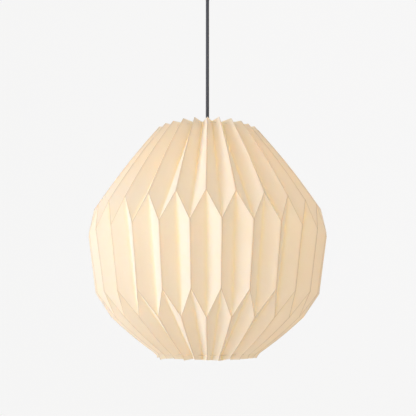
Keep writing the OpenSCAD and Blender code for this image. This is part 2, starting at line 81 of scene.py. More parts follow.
def make_camera():
    data = bpy.data.cameras.new("camera")
    data.lens = CAMERA_LENS
    data.sensor_width = SENSOR_WIDTH
    camera = bpy.data.objects.new("camera", data)
    camera.location = (
        CAMERA_DISTANCE * math.sin(CAMERA_BEARING),
        -CAMERA_DISTANCE * math.cos(CAMERA_BEARING),
        CAMERA_HEIGHT,
    )
    heading = CAMERA_BEARING - CAMERA_YAW
    camera.rotation_euler = (math.pi / 2 + CAMERA_PITCH, 0, heading)
    bpy.context.scene.collection.objects.link(camera)
    bpy.context.scene.camera = camera


# ---- Meshes --------------------------------------------------------------------------------------
def circle(count):
    """Angles evenly spaced once round."""
    return np.linspace(0, 2 * math.pi, count, endpoint=False)


def mesh_object(name, points, faces, smooth=True):
    mesh = bpy.data.meshes.new(name)
    mesh.from_pydata(np.asarray(points, float).reshape(-1, 3).tolist(), [], [list(f) for f in faces])
    mesh.polygons.foreach_set("use_smooth", [smooth] * len(mesh.polygons))
    mesh.update()
    piece = bpy.data.objects.new(name, mesh)
    bpy.context.scene.collection.objects.link(piece)
    return piece


def grid_faces(rows, columns, wrap=False, start=0, flip=False):
    """Quads of a grid of points, row by row. With wrap, the last column joins the first."""
    i, j = np.meshgrid(np.arange(rows - 1), np.arange(columns if wrap else columns - 1), indexing="ij")
    k = (j + 1) % columns
    quads = np.stack([i * columns + j, i * columns + k, (i + 1) * columns + k, (i + 1) * columns + j], -1)
    quads = quads.reshape(-1, 4) + start
    return quads[:, ::-1] if flip else quads


def closing_faces(rows, columns):
    """Quads that join the last row of a wrapped grid to its first."""
    last = (rows - 1) * columns
    return [[last + s, last + (s + 1) % columns, (s + 1) % columns, s] for s in range(columns)]


def point_attribute(piece, name, values):
    """Stores a number or a vector for each of the mesh's points."""
    values = np.asarray(values, np.float32)
    kind = "FLOAT" if values.ndim == 1 else "FLOAT_VECTOR"
    field = "value" if values.ndim == 1 else "vector"
    attribute = piece.data.attributes.new(name, kind, "POINT")
    attribute.data.foreach_set(field, values.ravel())


def unit(vectors):
    return vectors / np.maximum(np.linalg.norm(vectors, axis=-1, keepdims=True), 1e-12)


def resampled(route, spacing):
    """Evenly spaced points on a smooth curve through the route's points."""
    route = np.asarray(route, float)
    length = np.r_[0, np.cumsum(np.linalg.norm(np.diff(route, axis=0), axis=1))]
    count = max(3, int(round(length[-1] / spacing)) + 1)
    at = np.linspace(0, length[-1], count)
    tangent = np.gradient(route, length, axis=0)
    index = np.clip(np.searchsorted(length, at, side="right") - 1, 0, len(length) - 2)
    run = length[index + 1] - length[index]
    t = ((at - length[index]) / run)[:, None]
    a, b = route[index], route[index + 1]
    m0, m1 = tangent[index] * run[:, None], tangent[index + 1] * run[:, None]
    curve = (2 * t**3 - 3 * t**2 + 1) * a + (t**3 - 2 * t**2 + t) * m0 + (3 * t**2 - 2 * t**3) * b
    return curve + (t**3 - t**2) * m1


# Any direction that no path starts along
SWEEP_ASIDE = (0.31, 0.95, 0.02)


def swept(name, path, radius, sides, closed=False):
    """A tube along the path's points. radius is a number, or a function of angle and length."""
    path = np.asarray(path, float)
    after, before = np.roll(path, -1, 0), np.roll(path, 1, 0)
    if not closed:
        after[-1], before[0] = path[-1], path[0]
    tangent = unit(after - before)
    length = np.r_[0, np.cumsum(np.linalg.norm(np.diff(path, axis=0), axis=1))]
    across = unit(np.cross(tangent[0], SWEEP_ASIDE))
    sides_a, sides_b = [], []
    for t in tangent:
        across = unit(across - t * (across @ t))
        sides_a.append(across)
        sides_b.append(np.cross(t, across))
    angle = circle(sides)
    reach = radius(angle[None, :], length[:, None]) if callable(radius) else radius
    reach = np.broadcast_to(reach, (len(path), sides))[..., None]
    ring = np.cos(angle)[None, :, None] * np.array(sides_a)[:, None, :]
    ring = ring + np.sin(angle)[None, :, None] * np.array(sides_b)[:, None, :]
    points = path[:, None, :] + reach * ring
    faces = grid_faces(len(path), sides, wrap=True).tolist()
    if closed:
        faces += closing_faces(len(path), sides)
    else:
        faces += [list(range(sides))[::-1], [(len(path) - 1) * sides + s for s in range(sides)]]
    piece = mesh_object(name, points, faces)
    around = np.broadcast_to(angle / (2 * math.pi), (len(path), sides))
    along = np.broadcast_to(length[:, None], (len(path), sides))
    point_attribute(piece, "lay", np.stack([around, along, 0 * along], -1).reshape(-1, 3))
    return piece


def turned_points(outline, segments):
    """An outline of (radius, z) turned round the Z axis, as a grid of points."""
    outline = np.asarray(outline, float)
    angle = circle(segments)
    radius, z = outline[:, :1], outline[:, 1:]
    return np.stack([radius * np.cos(angle), radius * np.sin(angle), z + 0 * angle], -1)


def turned(name, outline, segments):
    """A ring-shaped mesh: a closed outline of (radius, z) turned round the Z axis."""
    faces = grid_faces(len(outline), segments, wrap=True).tolist() + closing_faces(len(outline), segments)
    return mesh_object(name, turned_points(outline, segments), faces)


# ---- Shader helpers ------------------------------------------------------------------------------
def new_material(name, **values):
    """A material with its Principled shader's values set, each named after its socket."""
    material = bpy.data.materials.new(name)
    material.use_nodes = True
    shader = material.node_tree.nodes["Principled BSDF"]
    for key, value in values.items():
        shader.inputs[key.replace("_", " ").title().replace("Ior", "IOR")].default_value = value
    return material, material.node_tree, shader


def add(tree, kind, sockets=None, **settings):
    """A node with its settings, and its sockets given as numbers or as other nodes' outputs."""
    node = tree.nodes.new(kind)
    for key, value in settings.items():
        setattr(node, key, value)
    for key, value in (sockets or {}).items():
        if isinstance(value, bpy.types.NodeSocket):
            tree.links.new(value, node.inputs[key])
        else:
            node.inputs[key].default_value = value
    return node


def object_place(tree):
    return add(tree, "ShaderNodeTexCoord").outputs["Object"]


def attribute(tree, name, output="Vector"):
    return add(tree, "ShaderNodeAttribute", attribute_name=name).outputs[output]


def scaled(tree, place, scale):
    return add(tree, "ShaderNodeMapping", {"Vector": place, "Scale": scale}).outputs["Vector"]


def noise(tree, place, scale, detail=2.0, roughness=0.5):
    sockets = {"Vector": place, "Scale": scale, "Detail": detail, "Roughness": roughness}
    return add(tree, "ShaderNodeTexNoise", sockets).outputs["Fac"]


def spread(tree, value, low, high, from_low=0.3, from_high=0.7):
    """Maps a value to low..high. The default span is where noise has most of its values."""
    sockets = {"Value": value, "From Min": from_low, "From Max": from_high, "To Min": low, "To Max": high}
    return add(tree, "ShaderNodeMapRange", sockets).outputs["Result"]


def mix(tree, share, first, second):
    """A colour between two colours. Inputs 0, 6 and 7 are a colour mix's share and colours."""
    node = add(tree, "ShaderNodeMix", data_type="RGBA")
    for socket, value in ((node.inputs[0], share), (node.inputs[6], first), (node.inputs[7], second)):
        if isinstance(value, bpy.types.NodeSocket):
            tree.links.new(value, socket)
        else:
            socket.default_value = value if isinstance(value, float) else (*value, 1)
    return node.outputs[2]


def math_node(tree, operation, a, b=0.0, c=0.0):
    return add(tree, "ShaderNodeMath", {0: a, 1: b, 2: c}, operation=operation).outputs["Value"]


def bump(tree, shader, height, distance, strength=1.0):
    sockets = {"Height": height, "Distance": distance, "Strength": strength}
    output = add(tree, "ShaderNodeBump", sockets).outputs["Normal"]
    tree.links.new(output, shader.inputs["Normal"])


def shade(colour, factor):
    """The colour, lighter or darker by a factor."""
    return tuple(min(1.0, c * factor) for c in colour)


def moulded(name, colour, roughness, grain=0.0006, depth=0.00002, mottle=0.05, cloud=0.02, **values):
    """A moulded, painted or plated surface: a fine grain, slow colour clouds and uneven gloss."""
    material, tree, shader = new_material(name, **values)
    place = object_place(tree)
    clouds = noise(tree, place, 1 / cloud, 4.0, 0.6)
    fine = noise(tree, place, 1 / grain, 3.0, 0.6)
    toned = mix(tree, spread(tree, clouds, 0.0, 1.0), shade(colour, 1 - mottle), shade(colour, 1 + mottle))
    tree.links.new(toned, shader.inputs["Base Color"])
    uneven = math_node(tree, "MULTIPLY_ADD", clouds, 0.5, math_node(tree, "MULTIPLY", fine, 0.5))
    gloss = spread(tree, uneven, max(0.02, roughness - 0.09), min(1.0, roughness + 0.09))
    tree.links.new(gloss, shader.inputs["Roughness"])
    bump(tree, shader, fine, depth)
    return material


def brushed(name, colour, roughness, stretch=(60, 60, 900), **values):
    """Plated metal with fine drawn lines and a little staining."""
    material, tree, shader = new_material(name, metallic=1.0, **values)
    place = object_place(tree)
    lines = noise(tree, scaled(tree, place, stretch), 3.0, 4.0, 0.7)
    stains = noise(tree, place, 90.0, 5.0, 0.65)
    toned = mix(tree, spread(tree, stains, 0.0, 1.0), shade(colour, 0.86), shade(colour, 1.06))
    tree.links.new(toned, shader.inputs["Base Color"])
    gloss = math_node(tree, "MULTIPLY_ADD", lines, 0.6, math_node(tree, "MULTIPLY", stains, 0.4))
    tree.links.new(spread(tree, gloss, roughness - 0.08, roughness + 0.12), shader.inputs["Roughness"])
    bump(tree, shader, lines, 0.00001)
    return material


# ---- Shade geometry ------------------------------------------------------------------------------
# Creases are numbered from the front, and even and odd ones alternate. Each is a list of
# [radius, height above the bottom rim]: bottom rim, thread, lower zigzag, upper zigzag, top rim.
# The four bands lie between them. Sizes in this section are in millimetres.
PLEATS = 28
CREASES = 2 * PLEATS
SEAM = PLEATS // 2
# A facet's width measured level at the two zigzags. Distances across a facet are scaled by it
FACET = 27.7
EVEN = np.array([[81.5, 0], [85.5, 7], [157.5, 63], [191, 239], [90, 382]], float)
ODD = np.array([[67, 0], [68, 7], [184.5, 102.5], [200, 195.5], [65, 382]], float)
EVEN_RIDGE = (True, True, False, True)
ODD_RIDGE = (False, False, True, False)
LEVELS = len(EVEN)
BANDS = LEVELS - 1
TOP_BAND = BANDS - 1
RIM_LEVELS = (0, 1, 4)
PAPER = 0.4
# The seam strips' two faces, measured outwards from the middle of the paper
STRIP_DEPTHS = (-0.30, -0.42)
FOOT = bottom_of("shade_front") / MM
# Half widths of the rounded folds
RIDGE_ROUND = 0.8
VALLEY_ROUND = 4.2
# How far the marks on the folds reach: the crease line, the painted shade on the paper beside it and the
# painted warm glow in the valley
RIDGE_LINE = 1.7
RIDGE_SHADE = 16.0
VALLEY_REACH = 7.0
# How far the ridges bow out, band by band
RIDGE_BOW = (0, 1.8, 0, 3.2)
# Spreads of the unevenness of folding by hand: of radius and height, of angle, and of the facets' bow
RIM_SPREAD, RIM_TURN = 0.75, 0.30
FOLD_SPREAD, FOLD_TURN = 0.4, 0.10
BOW_SHARES = (0.5, 0.3, 0.25)
# A band at least this long bows in full
LONG_BAND = 120
# Distances from the ends of a band, and from a crease, where the grid has its lines
END_ROWS = (0, 0.6, 1.6, 4)
ROW_SPACING = 13
CREASE_COLUMNS = (0, 0.5, 1.3, 3.0, 6.5)


def crease_table():
    """Every crease's points, with the small unevenness of folding by hand."""
    table = np.zeros((CREASES, LEVELS, 3))
    for j in range(CREASES):
        profile = ODD if j % 2 else EVEN
        for level in range(LEVELS):
            rim = level in RIM_LEVELS
            radius, height = profile[level] + RNG.normal(0, RIM_SPREAD if rim else FOLD_SPREAD, 2)
            turn = RNG.normal(0, RIM_TURN if rim else FOLD_TURN)
            angle = math.radians(j * 180 / PLEATS - 90 + turn)
            table[j, level] = (radius * math.cos(angle), radius * math.sin(angle), height + FOOT)
    return table


TABLE = crease_table()
BOW = RNG.normal(0, 1.0, (CREASES, BANDS, 3))


def band_length(band):
    return np.linalg.norm(EVEN[band + 1] - EVEN[band])


def band_rows(band):
    """Shares of the way up a band: close together at both ends, where the folds are."""
    length = band_length(band)
    near = [d / length for d in END_ROWS if d < length / 2]
    middle = np.linspace(near[-1], 1 - near[-1], max(3, int(length / ROW_SPACING)))
    return np.unique(np.round(np.r_[near, middle, [1 - n for n in near]], 6))


def facet_columns():
    """Shares of the way across a facet: close together at both creases."""
    near = np.array(CREASE_COLUMNS) / FACET
    return np.r_[near, 0.5, 1 - near[::-1]]


def on_crease(j, band, t):
    """Points of a crease in a band. The outward folds of the sloping bands bow out a little."""
    low, high = TABLE[j % CREASES, band], TABLE[j % CREASES, band + 1]
    line = low[None, :] * (1 - t)[:, None] + high[None, :] * t[:, None]
    if not (is_ridge(j, band) and RIDGE_BOW[band]):
        return line
    run, rise = (EVEN[band + 1] - EVEN[band]) / band_length(band)
    angle = math.atan2(low[1], low[0])
    outward = np.array([rise * math.cos(angle), rise * math.sin(angle), -run])
    return line + RIDGE_BOW[band] * np.sin(math.pi * t)[:, None] * outward[None, :]


def is_ridge(j, band):
    return (ODD_RIDGE if j % 2 else EVEN_RIDGE)[band]


def fold_softness(j, band, t):
    """How a crease's points move when its sharp fold is rounded off, and the fold's half width."""
    width = RIDGE_ROUND if is_ridge(j, band) else VALLEY_ROUND
    share = width / FACET
    here = on_crease(j, band, t)
    sides = (on_crease(j - 1, band, t) + on_crease(j + 1, band, t)) / 2
    end = t if band == TOP_BAND else np.minimum(t, 1 - t)
    ends = np.clip(end * band_length(band) / (3 * width), 0, 1)
    return (sides - here) * share / 2 * ends[:, None], width


def facet_surface(j, columns, band, t):
    """Points of the facet between creases j and j + 1: (rows, columns, 3)."""
    a, b = on_crease(j, band, t), on_crease(j + 1, band, t)
    surface = a[:, None, :] * (1 - columns)[None, :, None] + b[:, None, :] * columns[None, :, None]
    for crease, away in ((j, columns), (j + 1, 1 - columns)):
        move, width = fold_softness(crease, band, t)
        share = np.clip(1 - away * FACET / width, 0, 1) ** 2
        surface = surface + move[:, None, :] * share[None, :, None]
    one, two, three = BOW[j % CREASES, band] * BOW_SHARES
    normal = unit(np.cross(b[-1] - a[0], a[-1] - b[0]))
    across = np.sin(math.pi * columns)[None, :]
    up, twice = np.sin(math.pi * t)[:, None], np.sin(2 * math.pi * t)[:, None]
    skew = np.sin(2 * math.pi * columns)[None, :]
    bow = one * across * up + two * across * twice + three * skew * up
    return surface + (bow * min(1.0, band_length(band) / LONG_BAND))[..., None] * normal


def valley_mask(j, columns, band, t):
    """1 along an inward fold, fading to 0 at VALLEY_REACH: where the painted warm glow goes."""
    mask = np.zeros((len(t), len(columns)))
    for crease, away in ((j, columns), (j + 1, 1 - columns)):
        if not is_ridge(crease, band):
            mask = np.maximum(mask, np.clip(1 - away * FACET / VALLEY_REACH, 0, 1)[None, :])
    return mask


def ridge_mask(j, columns, band, t, reach):
    """1 on an outward fold or a zigzag, fading to 0 at a reach from it: where the crease line and the painted
    shade beside the ridges go.
    """
    length = band_length(band)
    mask = np.zeros((len(t), len(columns)))
    for crease, away in ((j, columns), (j + 1, 1 - columns)):
        if is_ridge(crease, band):
            mask = np.maximum(mask, np.clip(1 - away * FACET / reach, 0, 1)[None, :])
    if 0 < band < TOP_BAND:
        mask = np.maximum(mask, np.clip(1 - (1 - t) * length / reach, 0, 1)[:, None])
    if band > 1:
        mask = np.maximum(mask, np.clip(1 - t * length / reach, 0, 1)[:, None])
    return mask


def sheet_grid(first, columns):
    """A run of facets as one grid of points, with its flat places and its fold masks.

    columns has one list for each facet, and each facet starts where the one before it ends.
    """
    blocks, flats, masks = [], [], []
    done_even = np.r_[0, np.cumsum(np.linalg.norm(np.diff(EVEN, axis=0), axis=1))]
    done_odd = np.r_[0, np.cumsum(np.linalg.norm(np.diff(ODD, axis=0), axis=1))]
    for band in range(BANDS):
        t = band_rows(band) if band == TOP_BAND else band_rows(band)[:-1]
        row, flat_row, mask_row = [], [], []
        for j, own in enumerate(columns, start=first):
            cols = own if j == first + len(columns) - 1 else own[:-1]
            row.append(facet_surface(j, cols, band, t))
            mask_row.append(np.stack([ridge_mask(j, cols, band, t, RIDGE_LINE),
                                      ridge_mask(j, cols, band, t, RIDGE_SHADE),
                                      valley_mask(j, cols, band, t)], -1))
            mine, other = (done_odd, done_even) if j % 2 else (done_even, done_odd)
            v_a = mine[band] + (mine[band + 1] - mine[band]) * t
            v_b = other[band] + (other[band + 1] - other[band]) * t
            v = v_a[:, None] * (1 - cols)[None, :] + v_b[:, None] * cols[None, :]
            u = np.broadcast_to((j + cols)[None, :] * FACET, v.shape)
            flat_row.append(np.stack([u, v, 0 * v], -1))
        blocks.append(np.concatenate(row, 1))
        flats.append(np.concatenate(flat_row, 1))
        masks.append(np.concatenate(mask_row, 1))
    return np.concatenate(blocks, 0), np.concatenate(flats, 0), np.concatenate(masks, 0)


def outward_normals(grid):
    """Normals of a grid of points that face away from the Z axis."""
    along = np.gradient(grid, axis=0)
    across = np.gradient(grid, axis=1)
    return unit(np.cross(across, along))


def paper_piece(name, first, columns, outer, inner):
    """A closed sheet of paper between two depths from its middle."""
    grid, flat, mask = sheet_grid(first, columns)
    normals = outward_normals(grid)
    rows, count = grid.shape[:2]
    total = rows * count
    points = np.concatenate([(grid + normals * depth).reshape(-1, 3) for depth in (outer, inner)])
    faces = grid_faces(rows, count).tolist() + grid_faces(rows, count, start=total, flip=True).tolist()
    ring = list(range(count))
    ring += [r * count + count - 1 for r in range(1, rows)]
    ring += [(rows - 1) * count + c for c in range(count - 2, -1, -1)]
    ring += [r * count for r in range(rows - 2, 0, -1)]
    for a, b in zip(ring, ring[1:] + ring[:1]):
        faces.append([b, a, a + total, b + total])
    piece = mesh_object(name, points * MM, faces)
    point_attribute(piece, "flat", np.tile(flat.reshape(-1, 3), (2, 1)) * MM)
    # Masks for the crease line, the painted shade beside the ridges and the painted warm glow in the valleys
    for layer, label in enumerate(("ridge", "painted_ridge_shade", "valley")):
        point_attribute(piece, label, np.tile(mask[..., layer].ravel(), 2))
    return piece


# ---- Materials -----------------------------------------------------------------------------------
PAPER_LIGHT, PAPER_DARK = (0.960, 0.842, 0.700), (0.950, 0.824, 0.672)
# Colours painted on the folds, and how much of each: a painted warm glow in the valley, painted shade on the
# paper beside a ridge, and the crease line, partly the crease's own mark and partly painted fold shadow
FOLD_SHADE_GLOW_AND_CREASE = (
    ("valley", 0.80, (0.965, 0.800, 0.560)),
    ("painted_ridge_shade", 0.70, (0.905, 0.785, 0.630)),
    ("ridge", 0.85, (0.57, 0.47, 0.35)),
)


def paper_material():
    """Warm ivory lamp paper: it scatters light through, has fine fibres and slow clouds, and has painted glow
    and shade on its folds.
    """
    material, tree, shader = new_material(
        "shade_paper",
        subsurface_weight=1.0,
        subsurface_radius=(1.0, 0.85, 0.65),
        subsurface_scale=0.0010,
        roughness=0.62,
        ior=1.45,
    )
    shader.inputs["Specular IOR Level"].default_value = 0.25
    flat = attribute(tree, "flat")
    fibres = noise(tree, scaled(tree, flat, (1400, 160, 1)), 1.0, 4.0, 0.6)
    clouds = noise(tree, flat, 38.0, 4.0, 0.55)
    both = math_node(tree, "MULTIPLY_ADD", fibres, 0.45, math_node(tree, "MULTIPLY", clouds, 0.55))
    colour = mix(tree, spread(tree, both, 0.0, 1.0, 0.36, 0.64), PAPER_DARK, PAPER_LIGHT)
    # Painted light and shade on the folds: warm glow in the valleys, shade beside the ridges, and fold shadow
    # on the crease line
    for label, amount, tint in FOLD_SHADE_GLOW_AND_CREASE:
        share = math_node(tree, "MULTIPLY", attribute(tree, label, "Fac"), amount)
        colour = mix(tree, share, colour, tint)
    tree.links.new(colour, shader.inputs["Base Color"])
    bump(tree, shader, fibres, 0.00006, 0.6)
    return material


def thread_material():
    """Undyed twisted thread."""
    material, tree, shader = new_material("thread", roughness=0.7)
    lay = attribute(tree, "lay")
    ply = noise(tree, scaled(tree, lay, (6, 2600, 1)), 1.0, 3.0)
    colour = mix(tree, spread(tree, ply, 0.0, 1.0), (0.62, 0.52, 0.36), (0.88, 0.80, 0.65))
    tree.links.new(colour, shader.inputs["Base Color"])
    shader.inputs["Sheen Weight"].default_value = 0.3
    bump(tree, shader, ply, 0.00005)
    return material


def cord_material():
    """Braided textile cover, dark slate, with painted shade between the yarns that leaves each yarn lighter
    on its crown.
    """
    material, tree, shader = new_material("cord_cover", roughness=0.78)
    shader.inputs["Sheen Weight"].default_value = 0.35
    shader.inputs["Sheen Roughness"].default_value = 0.4
    crown = attribute(tree, "crown", "Fac")
    yarns = noise(tree, scaled(tree, attribute(tree, "lay"), (90, 3000, 1)), 1.0, 3.0)
    # Painted shade: near-black between the yarns, up to the slate colour on their crowns
    between, on_crown, worn = (0.012, 0.015, 0.022), (0.062, 0.072, 0.090), (0.11, 0.12, 0.14)
    colour = mix(tree, spread(tree, crown, 0.0, 1.0, 0.0, 1.0), between, on_crown)
    colour = mix(tree, spread(tree, yarns, 0.0, 0.5), colour, worn)
    tree.links.new(colour, shader.inputs["Base Color"])
    bump(tree, shader, yarns, 0.00008)
    return material


LAMP_GLOW = 13.0
LAMP_COLOUR = (1.0, 0.86, 0.68, 1)
ENAMEL, WHITE_PLASTIC, PORCELAIN = (0.035, 0.045, 0.058), (0.80, 0.79, 0.75), (0.82, 0.80, 0.74)


def bulb_opal():
    """Milky plastic that scatters light, and glows because the lamp is lit."""
    return moulded(
        "bulb_opal", (0.92, 0.90, 0.84), 0.33, grain=0.0012, depth=0.00001, mottle=0.01,
        subsurface_weight=0.6, subsurface_scale=0.003,
        emission_color=LAMP_COLOUR, emission_strength=LAMP_GLOW,
    )


def make_materials():
    """Every material slot's material, by the slot's name."""
    rubber = {"grain": 0.0005, "depth": 0.00003}
    enamel = {"grain": 0.0011, "depth": 0.00006, "mottle": 0.06, "cloud": 0.05}
    carrier = {"grain": 0.0010, "depth": 0.00005, "mottle": 0.02}
    return {
        "shade_paper": paper_material(),
        "thread": thread_material(),
        "cord_cover": cord_material(),
        "sleeve_rubber": moulded("sleeve_rubber", (0.022, 0.027, 0.035), 0.62, **rubber),
        "cup_enamel": moulded("cup_enamel", ENAMEL, 0.42, **enamel),
        "steel": brushed("steel", (0.62, 0.63, 0.66), 0.38, (900, 60, 60)),
        "screw_steel": brushed("screw_steel", (0.66, 0.66, 0.68), 0.30),
        "grip_nylon": moulded("grip_nylon", (0.028, 0.033, 0.040), 0.50, **rubber),
        "terminal_plastic": moulded("terminal_plastic", (0.78, 0.78, 0.74), 0.45),
        "live_insulation": moulded("live_insulation", (0.19, 0.075, 0.028), 0.34),
        "neutral_insulation": moulded("neutral_insulation", (0.030, 0.095, 0.36), 0.34),
        "brass": brushed("brass", (0.76, 0.55, 0.24), 0.28),
        "holder_plastic": moulded("holder_plastic", WHITE_PLASTIC, 0.30, grain=0.0008, mottle=0.02),
        "porcelain": moulded("porcelain", PORCELAIN, 0.25, grain=0.0015, mottle=0.03, coat_weight=0.4),
        "carrier_plastic": moulded("carrier_plastic", WHITE_PLASTIC, 0.40, **carrier),
        "carrier_wire": moulded("carrier_wire", WHITE_PLASTIC, 0.40, **carrier),
        "bulb_cap_metal": brushed("bulb_cap_metal", (0.70, 0.68, 0.64), 0.26),
        "bulb_insulator": moulded("bulb_insulator", (0.012, 0.012, 0.014), 0.2, coat_weight=0.5),
        "bulb_solder": brushed("bulb_solder", (0.55, 0.55, 0.56), 0.42),
        "bulb_plastic": moulded("bulb_plastic", (0.86, 0.86, 0.83), 0.38, grain=0.0007, mottle=0.015),
        "bulb_opal": bulb_opal(),
        "led_board_metal": brushed("led_board_metal", (0.78, 0.78, 0.78), 0.35),
        "led_phosphor": moulded("led_phosphor", (0.90, 0.70, 0.16), 0.55),
        "circuit_board": moulded("circuit_board", (0.035, 0.16, 0.075), 0.35),
    }


MATERIALS = make_materials()


def dressed(piece, slot, body=None, nodes=()):
    """The piece with its slot's material. It rides on a body and stands for CAD nodes, where given."""
    piece.data.materials.clear()
    piece.data.materials.append(MATERIALS[slot])
    if body:
        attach(piece, body)
    if nodes:
        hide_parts(*nodes)
    return piece


# ---- Cord ----------------------------------------------------------------------------------------
CORD_R = 3.0
SLEEVE_ROUTE = [(0, 0, -0.066), (0, 0, -0.078), (0, 0, -0.089)]
CORD_ROUTE = [(0, 0, -z * MM) for z in (
    91, 100, 115, 130, 145, 160, 175, 190, 205, 220, 235, 250, 265, 280, 295, 310, 325, 345)]
TAIL_ROUTE = [(0, 0, -0.064), (0, 0, -0.050), (0, 0, -0.038)]
YARNS = 8
BRAID_PITCH = 14.0
BRAID_RELIEF = 0.22
BRAID_STEP = 0.7
BRAID_SIDES = 64
# Below 1, a yarn's crown is broad and its edge steep
YARN_ROUNDNESS = 0.7


def braid_height(angle, length):
    """0 between the yarns and 1 on their crowns: two sets of yarns that pass over each other."""
    turn = 2 * math.pi * length / (BRAID_PITCH * MM)
    one, two = YARNS * angle + turn, YARNS * angle - turn
    over = 0.5 + 0.5 * np.cos((one + two) / 2) * np.cos((one - two) / 2)
    first = np.abs(np.cos(one)) ** YARN_ROUNDNESS
    second = np.abs(np.cos(two)) ** YARN_ROUNDNESS
    return np.clip(first * over + second * (1 - over), 0, 1)


def braided(name, route):
    """A braided cord along a route, and the path that it follows."""
    path = resampled(route, BRAID_STEP * MM)

    def radius(angle, length):
        return (CORD_R - BRAID_RELIEF + BRAID_RELIEF * braid_height(angle, length)) * MM

    piece = swept(name, path, radius, BRAID_SIDES)
    lay = np.zeros(len(piece.data.vertices) * 3)
    piece.data.attributes["lay"].data.foreach_get("vector", lay)
    lay = lay.reshape(-1, 3)
    # Height on the braid, which the cord's material turns into painted shade between the yarns
    point_attribute(piece, "crown", braid_height(lay[:, 0] * 2 * math.pi, lay[:, 1]))
    return piece, path


def make_cord():
    cord, path = braided("cord_cover", SLEEVE_ROUTE + CORD_ROUTE)
    dressed(cord, "cord_cover", nodes=("cord", "cord_in_sleeve"))
    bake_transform(cord)
    tail, _ = braided("cord_tail_cover", TAIL_ROUTE)
    dressed(tail, "cord_cover", "ceiling_cup", ("cord_tail",))


def make_bend_sleeve():
    """A soft tapered sleeve with a ball head, ringed so that it bends evenly."""
    head_r, tip_r, head_z = 4.6, 3.9, -69.0
    bore, lip = CORD_R + 0.05, 0.3
    groove, spacing, plain_head, plain_tip = 0.42, 1.9, 2.0, 1.2
    top = head_z + math.sqrt(head_r**2 - (bore + lip) ** 2)
    tip = bottom_of("bend_sleeve") / MM
    outer = []
    for z in np.linspace(top, tip, 180):
        if z > head_z:
            r = math.sqrt(head_r**2 - (z - head_z) ** 2)
        else:
            r = head_r + (tip_r - head_r) * (head_z - z) / (head_z - tip)
        below = head_z - plain_head - z
        if 0 < below < head_z - plain_head - tip - plain_tip:
            r -= groove * (0.5 - 0.5 * math.cos(2 * math.pi * below / spacing)) ** 2
        outer.append((r, z))
    outline = [(bore, top)] + outer + [(bore, tip)]
    piece = turned("ribbed_bend_sleeve", np.array(outline)[::-1] * MM, 64)
    dressed(piece, "sleeve_rubber", nodes=("bend_sleeve",))
    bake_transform(piece)


# ---- Wires ---------------------------------------------------------------------------------------
CORE_R = 1.1
CORE_STEP = 0.6
CORE_SIDES = 24
LIVE_ROUTE = [
    (-1.4, 0, -38), (-1.4, 0, -34), (-2, 1, -30), (-3, 4, -26), (-4, 8, -23.5), (-4.5, 12, -23),
    (-4.5, 16.5, -23)]
HOLDER_LIVE_ROUTE = [
    (-1.4, 0, -345.5), (-1.6, 0, -348), (-3, 0.8, -350.5), (-5.5, 1.2, -352.5), (-9, 0, -354)]


def make_cores():
    """The cord's two cores at each end. The neutral mirrors the live."""
    for place, route, body in (("", LIVE_ROUTE, "ceiling_cup"), ("holder_", HOLDER_LIVE_ROUTE, "lampholder")):
        for pole, side in (("live", 1), ("neutral", -1)):
            path = resampled([(x * side * MM, y * MM, z * MM) for x, y, z in route], CORE_STEP * MM)
            wire = swept(f"{place}{pole}_wire", path, CORE_R * MM, CORE_SIDES)
            dressed(wire, f"{pole}_insulation", body, (f"{place}{pole}_core",))


def make_shade():
    """Two pleated sheets, and a strip behind each seam that covers half a facet on either side."""
    columns = facet_columns()
    front = paper_piece("pleated_sheet_front", -SEAM, [columns] * PLEATS, PAPER / 2, -PAPER / 2)
    back = paper_piece("pleated_sheet_back", SEAM, [columns] * PLEATS, PAPER / 2, -PAPER / 2)
    dressed(front, "shade_paper", "shade", ("shade_front",))
    dressed(back, "shade_paper", "shade", ("shade_back",))
    halves = [columns[columns >= 0.5], columns[columns <= 0.5]]
    for side, seam in (("left", 3 * SEAM), ("right", SEAM)):
        strip = paper_piece(f"seam_strip_{side}", seam - 1, halves, *STRIP_DEPTHS)
        dressed(strip, "shade_paper", "shade", ("seam_strips",))


RING_POINTS = 520
TWIST = 1.6
KNOT_SIZE = 0.42
KNOT_THICKNESS = 0.72
END_LENGTH = 11.5


def make_ring(side, radius, z, thick):
    """The thread round the shade, twisted from two plies."""
    angle = circle(RING_POINTS)
    ring = np.stack([radius * np.cos(angle), radius * np.sin(angle), z + 0 * angle], 1)

    def two_ply(around, length):
        return thick * (0.78 + 0.22 * np.abs(np.cos(around - length / (TWIST * MM) * math.pi)))

    thread = swept(f"{side}_gathering_thread", ring, two_ply, 16, closed=True)
    dressed(thread, "thread", "shade", (f"{side}_thread",))


def make_knot(side, centre, thick):
    """A trefoil knot, and the thread's two ends, which point towards the shade's middle."""
    t = np.linspace(0, 2 * math.pi, 90)
    size = KNOT_SIZE * MM
    trefoil = np.stack([
        size * (np.sin(t) + 2 * np.sin(2 * t)),
        0.6 * size * (np.cos(t) - 2 * np.cos(2 * t)),
        size * -np.sin(3 * t),
    ], 1)
    loop = swept(f"{side}_thread_knot", trefoil[:-1] + centre, thick * KNOT_THICKNESS, 12, closed=True)
    dressed(loop, "thread", "shade", (f"{side}_knot",))
    up = -1 if side == "top" else 1
    for end, lean in (("a", -0.12), ("b", 0.2)):
        s = np.linspace(0, 1, 24)
        tail = np.stack([
            lean * 10 * MM * s**1.5,
            0.6 * MM * np.sin(5 * s),
            up * (0.6 + END_LENGTH * s) * MM,
        ], 1)
        piece = swept(f"{side}_thread_end_{end}", tail + centre, thick * KNOT_THICKNESS, 12)
        dressed(piece, "thread", "shade")


